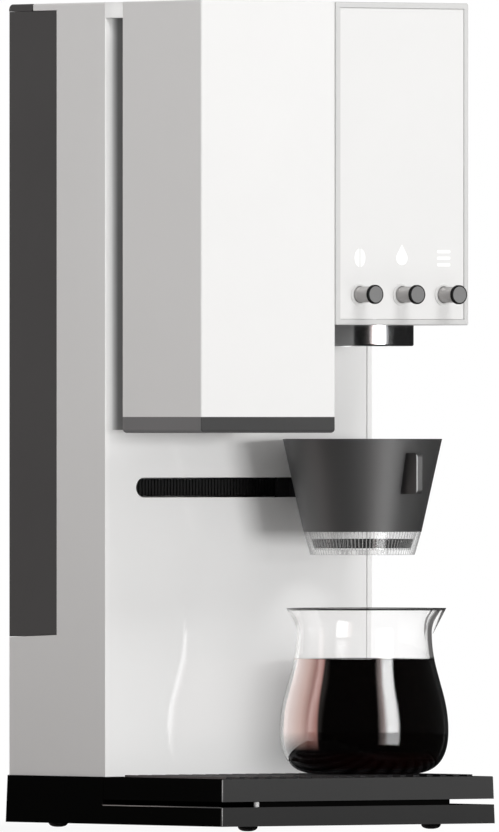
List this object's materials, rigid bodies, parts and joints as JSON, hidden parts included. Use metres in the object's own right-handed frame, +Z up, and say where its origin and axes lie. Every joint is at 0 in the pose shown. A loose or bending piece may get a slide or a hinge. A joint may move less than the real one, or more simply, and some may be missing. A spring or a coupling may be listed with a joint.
{
  "type": "pour-over coffee machine",
  "caption": "Upright white coffee machine with a grinder box, brew head with push-and-turn knobs, travelling dripper, glass carafe on a weighing platform and a rear water tank.",
  "frame": {"origin": "on the worktop, under the middle of the base", "axes": "+X to the user's right, +Y to the rear, +Z up; the knobs face -Y"},
  "size_m": [0.1824, 0.1944, 0.44],
  "materials": {
    "base_black": "fine-grained black moulding",
    "grille_black": "black powder coat",
    "foot_rubber": "soft black rubber",
    "steel": "plain steel",
    "light_metal": "plain cast or turned aluminium",
    "white_shell": "smooth satin white",
    "white_gloss": "glossy white",
    "tank_grey": "dark smoky plastic",
    "inner_black": "plain black moulding",
    "trim_grey": "dark grey satin",
    "hopper_smoke": "smoky clear plastic",
    "motor_metal": "dull metal can",
    "hose_silicone": "milky silicone",
    "board_green": "circuit board",
    "belt_rubber": "ribbed black rubber",
    "lens_white": "pale translucent inlay",
    "collar_white": "pale ring",
    "knob_metal": "turned and anodised grey",
    "spout_chrome": "polished",
    "dripper_grey": "dark satin moulding",
    "clear_plastic": "clear ribbed plastic",
    "carafe_glass": "clear thin glass"
  },
  "bodies": {
    "machine": {"base_housing": "base_black", "scale_platform": "base_black", "feet": "foot_rubber", "tank_seal": "foot_rubber", "base_screws": "steel", "guide_rods": "steel", "idler_pin": "steel", "bean_lid_pin": "steel", "outer_burr": "steel", "shower_screen": "steel", "load_cell": "light_metal", "heater": "light_metal", "rail_brackets": "light_metal", "grinder_shelf": "light_metal", "burr_chamber": "light_metal", "column_shell": "white_shell", "grinder_housing": "white_shell", "head_shell": "white_shell", "top_bridge": "white_shell", "rear_cover": "white_shell", "column_panel": "white_gloss", "head_fascia": "white_gloss", "mains_inlet": "inner_black", "tank_coupling": "inner_black", "pump": "inner_black", "neck": "inner_black", "grounds_chute": "inner_black", "water_manifold": "inner_black", "encoders": "inner_black", "grinder_trim": "trim_grey", "bean_hopper": "hopper_smoke", "drive_motor": "motor_metal", "grinder_motor": "motor_metal", "water_hoses": "hose_silicone", "control_board": "board_green", "encoder_board": "board_green", "drive_belt": "belt_rubber", "indicator_lenses": "lens_white", "knob_collars": "collar_white", "brew_spout": "spout_chrome"},
    "carriage": {"carriage": "inner_black", "carriage_bushes": "inner_black", "dock_arm": "inner_black"},
    "drive_pulley": {"drive_pulley": "light_metal"},
    "idler_pulley": {"idler_pulley": "light_metal"},
    "dripper": {"dripper_cone": "dripper_grey", "dripper_base": "clear_plastic"},
    "drip_grille": {"drip_grille": "grille_black"},
    "carafe": {"carafe": "carafe_glass"},
    "water_tank": {"water_tank": "tank_grey", "tank_lid_pins": "steel"},
    "tank_lid": {"tank_lid": "tank_grey"},
    "bean_lid": {"bean_lid": "white_shell"},
    "inner_burr": {"inner_burr": "steel"},
    "knob_shaft_left": {"knob_shaft_left": "steel"},
    "knob_left": {"knob_left": "knob_metal"},
    "knob_shaft_middle": {"knob_shaft_middle": "steel"},
    "knob_middle": {"knob_middle": "knob_metal"},
    "knob_shaft_right": {"knob_shaft_right": "steel"},
    "knob_right": {"knob_right": "knob_metal"}
  },
  "joints": [
    {"name": "carriage_slide", "type": "slide", "parent": "machine", "child": "carriage", "axis": [1, 0, 0], "range_m": [-0.08915, 0]},
    {"name": "drive_pulley_spin", "type": "hinge", "parent": "machine", "child": "drive_pulley", "pos_m": [0.0735, 0.0249, 0.1818], "axis": [0, 0, 1], "range_deg": [-700, 0]},
    {"name": "idler_pulley_spin", "type": "hinge", "parent": "machine", "child": "idler_pulley", "pos_m": [-0.0735, 0.0249, 0.1818], "axis": [0, 0, 1], "range_deg": [-700, 0]},
    {"name": "dripper_pull", "type": "slide", "parent": "carriage", "child": "dripper", "axis": [0, -1, 0], "range_m": [0, 0.09]},
    {"name": "grille_lift", "type": "slide", "parent": "machine", "child": "drip_grille", "axis": [0, 0, 1], "range_m": [0, 0.02]},
    {"name": "carafe_slide", "type": "slide", "parent": "drip_grille", "child": "carafe", "axis": [0, -1, 0], "range_m": [0, 0.09]},
    {"name": "tank_slide", "type": "slide", "parent": "machine", "child": "water_tank", "axis": [0, 1, 0], "range_m": [0, 0.06]},
    {"name": "tank_lid_hinge", "type": "hinge", "parent": "water_tank", "child": "tank_lid", "pos_m": [0, 0.07643, 0.43807], "axis": [1, 0, 0], "range_deg": [0, 90]},
    {"name": "bean_lid_hinge", "type": "hinge", "parent": "machine", "child": "bean_lid", "pos_m": [-0.04457, -0.01675, 0.438], "axis": [-1, 0, 0], "range_deg": [0, 90]},
    {"name": "burr_spin", "type": "hinge", "parent": "machine", "child": "inner_burr", "pos_m": [-0.05858, -0.04075, 0.32], "axis": [0, 0, 1], "continuous": true},
    {"name": "knob_push_left", "type": "slide", "parent": "machine", "child": "knob_shaft_left", "axis": [0, 1, 0], "range_m": [0, 0.0012], "stiffness_N_per_m": 900, "springref_m": -0.0008},
    {"name": "knob_turn_left", "type": "hinge", "parent": "knob_shaft_left", "child": "knob_left", "pos_m": [0.01657, -0.082, 0.2845], "axis": [0, 1, 0], "continuous": true},
    {"name": "knob_push_middle", "type": "slide", "parent": "machine", "child": "knob_shaft_middle", "axis": [0, 1, 0], "range_m": [0, 0.0012], "stiffness_N_per_m": 900, "springref_m": -0.0008},
    {"name": "knob_turn_middle", "type": "hinge", "parent": "knob_shaft_middle", "child": "knob_middle", "pos_m": [0.04457, -0.082, 0.2845], "axis": [0, 1, 0], "continuous": true},
    {"name": "knob_push_right", "type": "slide", "parent": "machine", "child": "knob_shaft_right", "axis": [0, 1, 0], "range_m": [0, 0.0012], "stiffness_N_per_m": 900, "springref_m": -0.0008},
    {"name": "knob_turn_right", "type": "hinge", "parent": "knob_shaft_right", "child": "knob_right", "pos_m": [0.07258, -0.082, 0.2845], "axis": [0, 1, 0], "continuous": true}
  ],
  "couplings": [
    {"joint": "drive_pulley_spin", "follows": "carriage_slide", "rad_per_m": 136.99},
    {"joint": "idler_pulley_spin", "follows": "carriage_slide", "rad_per_m": 136.99}
  ]
}
